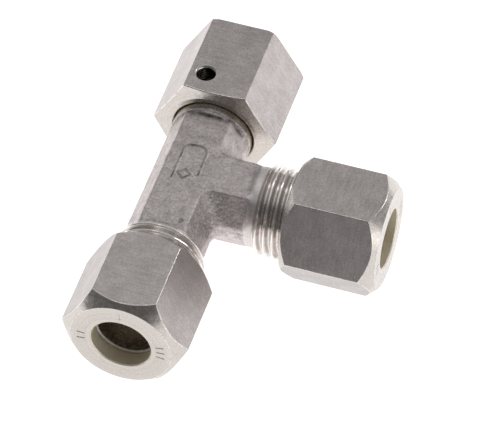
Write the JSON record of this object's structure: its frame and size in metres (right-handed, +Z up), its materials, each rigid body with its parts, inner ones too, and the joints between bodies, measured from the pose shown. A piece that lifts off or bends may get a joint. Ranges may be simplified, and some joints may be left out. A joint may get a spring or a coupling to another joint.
{
  "type": "compression fitting",
  "caption": "Cutting-ring run tee for tube: forged body, union nuts on one run end and the branch, and a captive swivel nut with an O-ring taper on the other run end.",
  "frame": {"origin": "the point where the run axis and the branch axis cross", "axes": "+Y along the run towards the swivel nut, +X along the branch, +Z up"},
  "size_m": [0.0463, 0.0663, 0.019],
  "materials": {
    "forged_steel": "matt forged",
    "turned_steel": "satin",
    "wire_steel": "satin",
    "seal_rubber": "matt"
  },
  "bodies": {
    "tee": {"tee_body": "forged_steel", "retaining_wire": "wire_steel", "o_ring": "seal_rubber"},
    "run_ring": {"cutting_ring_run": "turned_steel"},
    "run_nut": {"union_nut_run": "turned_steel"},
    "branch_ring": {"cutting_ring_branch": "turned_steel"},
    "branch_nut": {"union_nut_branch": "turned_steel"},
    "swivel": {"swivel_nut": "turned_steel"}
  },
  "joints": [
    {"name": "run_ring_slide", "type": "slide", "parent": "tee", "child": "run_ring", "axis": [0, -1, 0], "range_m": [0, 0.00705]},
    {"name": "run_nut_turn", "type": "hinge", "parent": "run_ring", "child": "run_nut", "pos_m": [0, -0.027, 0], "axis": [0, -1, 0], "range_deg": [0, 1692]},
    {"name": "branch_ring_slide", "type": "slide", "parent": "tee", "child": "branch_ring", "axis": [1, 0, 0], "range_m": [0, 0.00705]},
    {"name": "branch_nut_turn", "type": "hinge", "parent": "branch_ring", "child": "branch_nut", "pos_m": [0.027, 0, 0], "axis": [1, 0, 0], "range_deg": [0, 1692]},
    {"name": "swivel_nut_turn", "type": "hinge", "parent": "tee", "child": "swivel", "pos_m": [0, 0.022, 0], "axis": [0, 1, 0], "continuous": true}
  ],
  "couplings": [
    {"joint": "run_ring_slide", "follows": "run_nut_turn", "m_per_rad": 0.00023873},
    {"joint": "branch_ring_slide", "follows": "branch_nut_turn", "m_per_rad": 0.00023873}
  ]
}
